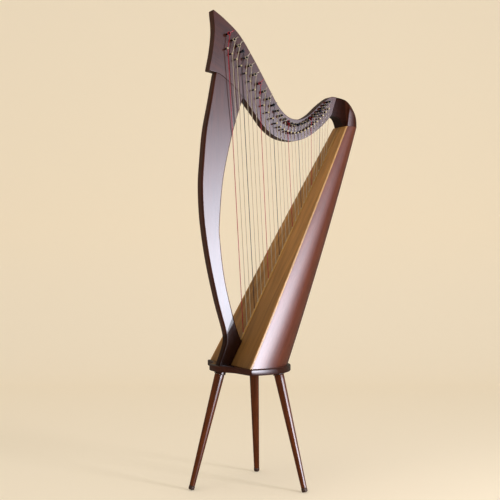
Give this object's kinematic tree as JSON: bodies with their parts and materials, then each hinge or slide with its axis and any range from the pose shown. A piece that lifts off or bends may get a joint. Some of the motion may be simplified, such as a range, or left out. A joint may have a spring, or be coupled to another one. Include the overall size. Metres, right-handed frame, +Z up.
{
  "type": "folk harp on a three-legged stand",
  "caption": "Small lever-less folk harp: carved neck and curved pillar, half-round tapered soundbox and nylon strings on turning pins, bolted to a plate on splayed screw-in legs.",
  "frame": {"origin": "middle of the bottom of the bounding box, on the floor", "axes": "+Z up; +X from the pillar to the back of the soundbox; the strings run on the -Y side of the neck"},
  "size_m": [0.5384, 0.3364, 1.3595],
  "materials": {
    "stained_frame": "dark mahogany stain under gloss lacquer",
    "shell": "red-brown mahogany veneer under gloss lacquer",
    "soundboard": "straight-grained softwood under satin lacquer",
    "banding": "pale hardwood strip",
    "raw_wood": "bare softwood",
    "strings": "nylon strings, blackened bridge pins with bright grooved ends",
    "pin_steel": "blackened steel",
    "screw_steel": "zinc plated",
    "plate": "dark stain under gloss lacquer",
    "legs": "red-brown stain under gloss lacquer",
    "rubber": "matt black"
  },
  "bodies": {
    "harp": {"base_block": "raw_wood", "brace_lower": "raw_wood", "brace_upper": "raw_wood", "edge_trim_left": "banding", "edge_trim_right": "banding", "inner_rib": "raw_wood", "leg_pad_front": "plate", "leg_pad_left": "plate", "leg_pad_right": "plate", "lining_left": "raw_wood", "lining_right": "raw_wood", "neck": "stained_frame", "neck_dowel": "raw_wood", "pillar": "stained_frame", "pillar_screw": "screw_steel", "shoulder_block": "stained_frame", "soundboard": "soundboard", "soundbox_shell": "shell", "stand_bolt_left": "screw_steel", "stand_bolt_right": "screw_steel", "stand_plate": "plate", "strings_on_rib": "strings", "top_block": "raw_wood"},
    "pin_01": {"tuning_pin_01": "pin_steel"},
    "pin_02": {"tuning_pin_02": "pin_steel"},
    "pin_03": {"tuning_pin_03": "pin_steel"},
    "pin_04": {"tuning_pin_04": "pin_steel"},
    "pin_05": {"tuning_pin_05": "pin_steel"},
    "pin_06": {"tuning_pin_06": "pin_steel"},
    "pin_07": {"tuning_pin_07": "pin_steel"},
    "pin_08": {"tuning_pin_08": "pin_steel"},
    "pin_09": {"tuning_pin_09": "pin_steel"},
    "pin_10": {"tuning_pin_10": "pin_steel"},
    "pin_11": {"tuning_pin_11": "pin_steel"},
    "pin_12": {"tuning_pin_12": "pin_steel"},
    "pin_13": {"tuning_pin_13": "pin_steel"},
    "pin_14": {"tuning_pin_14": "pin_steel"},
    "pin_15": {"tuning_pin_15": "pin_steel"},
    "pin_16": {"tuning_pin_16": "pin_steel"},
    "pin_17": {"tuning_pin_17": "pin_steel"},
    "pin_18": {"tuning_pin_18": "pin_steel"},
    "pin_19": {"tuning_pin_19": "pin_steel"},
    "pin_20": {"tuning_pin_20": "pin_steel"},
    "pin_21": {"tuning_pin_21": "pin_steel"},
    "pin_22": {"tuning_pin_22": "pin_steel"},
    "pin_23": {"tuning_pin_23": "pin_steel"},
    "pin_24": {"tuning_pin_24": "pin_steel"},
    "pin_25": {"tuning_pin_25": "pin_steel"},
    "pin_26": {"tuning_pin_26": "pin_steel"},
    "pin_27": {"tuning_pin_27": "pin_steel"},
    "pin_28": {"tuning_pin_28": "pin_steel"},
    "leg_front_turned": {"leg_front": "legs", "leg_stud_front": "screw_steel", "foot_tip_front": "rubber"},
    "leg_left_turned": {"leg_left": "legs", "leg_stud_left": "screw_steel", "foot_tip_left": "rubber"},
    "leg_right_turned": {"leg_right": "legs", "leg_stud_right": "screw_steel", "foot_tip_right": "rubber"}
  },
  "joints": [
    {"name": "pin_01_turn", "type": "hinge", "parent": "harp", "child": "pin_01", "pos_m": [-0.15828, 0, 1.2923], "axis": [0, 1, 0], "continuous": true},
    {"name": "pin_02_turn", "type": "hinge", "parent": "harp", "child": "pin_02", "pos_m": [-0.14223, 0, 1.27626], "axis": [0, 1, 0], "continuous": true},
    {"name": "pin_03_turn", "type": "hinge", "parent": "harp", "child": "pin_03", "pos_m": [-0.12748, 0, 1.26031], "axis": [0, 1, 0], "continuous": true},
    {"name": "pin_04_turn", "type": "hinge", "parent": "harp", "child": "pin_04", "pos_m": [-0.11547, 0, 1.24502], "axis": [0, 1, 0], "continuous": true},
    {"name": "pin_05_turn", "type": "hinge", "parent": "harp", "child": "pin_05", "pos_m": [-0.10396, 0, 1.22768], "axis": [0, 1, 0], "continuous": true},
    {"name": "pin_06_turn", "type": "hinge", "parent": "harp", "child": "pin_06", "pos_m": [-0.09112, 0, 1.20627], "axis": [0, 1, 0], "continuous": true},
    {"name": "pin_07_turn", "type": "hinge", "parent": "harp", "child": "pin_07", "pos_m": [-0.07677, 0, 1.1816], "axis": [0, 1, 0], "continuous": true},
    {"name": "pin_08_turn", "type": "hinge", "parent": "harp", "child": "pin_08", "pos_m": [-0.06183, 0, 1.157], "axis": [0, 1, 0], "continuous": true},
    {"name": "pin_09_turn", "type": "hinge", "parent": "harp", "child": "pin_09", "pos_m": [-0.04678, 0, 1.13477], "axis": [0, 1, 0], "continuous": true},
    {"name": "pin_10_turn", "type": "hinge", "parent": "harp", "child": "pin_10", "pos_m": [-0.03199, 0, 1.1146], "axis": [0, 1, 0], "continuous": true},
    {"name": "pin_11_turn", "type": "hinge", "parent": "harp", "child": "pin_11", "pos_m": [-0.01789, 0, 1.09672], "axis": [0, 1, 0], "continuous": true},
    {"name": "pin_12_turn", "type": "hinge", "parent": "harp", "child": "pin_12", "pos_m": [-0.00478, 0, 1.081], "axis": [0, 1, 0], "continuous": true},
    {"name": "pin_13_turn", "type": "hinge", "parent": "harp", "child": "pin_13", "pos_m": [0.00746, 0, 1.06779], "axis": [0, 1, 0], "continuous": true},
    {"name": "pin_14_turn", "type": "hinge", "parent": "harp", "child": "pin_14", "pos_m": [0.01893, 0, 1.05789], "axis": [0, 1, 0], "continuous": true},
    {"name": "pin_15_turn", "type": "hinge", "parent": "harp", "child": "pin_15", "pos_m": [0.03008, 0, 1.05089], "axis": [0, 1, 0], "continuous": true},
    {"name": "pin_16_turn", "type": "hinge", "parent": "harp", "child": "pin_16", "pos_m": [0.041, 0, 1.04629], "axis": [0, 1, 0], "continuous": true},
    {"name": "pin_17_turn", "type": "hinge", "parent": "harp", "child": "pin_17", "pos_m": [0.05166, 0, 1.04387], "axis": [0, 1, 0], "continuous": true},
    {"name": "pin_18_turn", "type": "hinge", "parent": "harp", "child": "pin_18", "pos_m": [0.06215, 0, 1.04366], "axis": [0, 1, 0], "continuous": true},
    {"name": "pin_19_turn", "type": "hinge", "parent": "harp", "child": "pin_19", "pos_m": [0.07254, 0, 1.04596], "axis": [0, 1, 0], "continuous": true},
    {"name": "pin_20_turn", "type": "hinge", "parent": "harp", "child": "pin_20", "pos_m": [0.08288, 0, 1.05021], "axis": [0, 1, 0], "continuous": true},
    {"name": "pin_21_turn", "type": "hinge", "parent": "harp", "child": "pin_21", "pos_m": [0.09321, 0, 1.05577], "axis": [0, 1, 0], "continuous": true},
    {"name": "pin_22_turn", "type": "hinge", "parent": "harp", "child": "pin_22", "pos_m": [0.10349, 0, 1.06247], "axis": [0, 1, 0], "continuous": true},
    {"name": "pin_23_turn", "type": "hinge", "parent": "harp", "child": "pin_23", "pos_m": [0.1137, 0, 1.06993], "axis": [0, 1, 0], "continuous": true},
    {"name": "pin_24_turn", "type": "hinge", "parent": "harp", "child": "pin_24", "pos_m": [0.12387, 0, 1.07795], "axis": [0, 1, 0], "continuous": true},
    {"name": "pin_25_turn", "type": "hinge", "parent": "harp", "child": "pin_25", "pos_m": [0.134, 0, 1.08676], "axis": [0, 1, 0], "continuous": true},
    {"name": "pin_26_turn", "type": "hinge", "parent": "harp", "child": "pin_26", "pos_m": [0.14413, 0, 1.09633], "axis": [0, 1, 0], "continuous": true},
    {"name": "pin_27_turn", "type": "hinge", "parent": "harp", "child": "pin_27", "pos_m": [0.15426, 0, 1.10622], "axis": [0, 1, 0], "continuous": true},
    {"name": "pin_28_turn", "type": "hinge", "parent": "harp", "child": "pin_28", "pos_m": [0.16441, 0, 1.11604], "axis": [0, 1, 0], "continuous": true},
    {"name": "leg_front_unscrew", "type": "hinge", "parent": "harp", "child": "leg_front_turned", "pos_m": [-0.17155, 0, 0.3325], "axis": [-0.2622, 0, -0.965], "range_deg": [0, 720]},
    {"name": "leg_left_unscrew", "type": "hinge", "parent": "harp", "child": "leg_left_turned", "pos_m": [-0.0283, -0.08271, 0.3325], "axis": [0.1311, -0.2271, -0.965], "range_deg": [0, 720]},
    {"name": "leg_right_unscrew", "type": "hinge", "parent": "harp", "child": "leg_right_turned", "pos_m": [-0.0283, 0.08271, 0.3325], "axis": [0.1311, 0.2271, -0.965], "range_deg": [0, 720]}
  ]
}
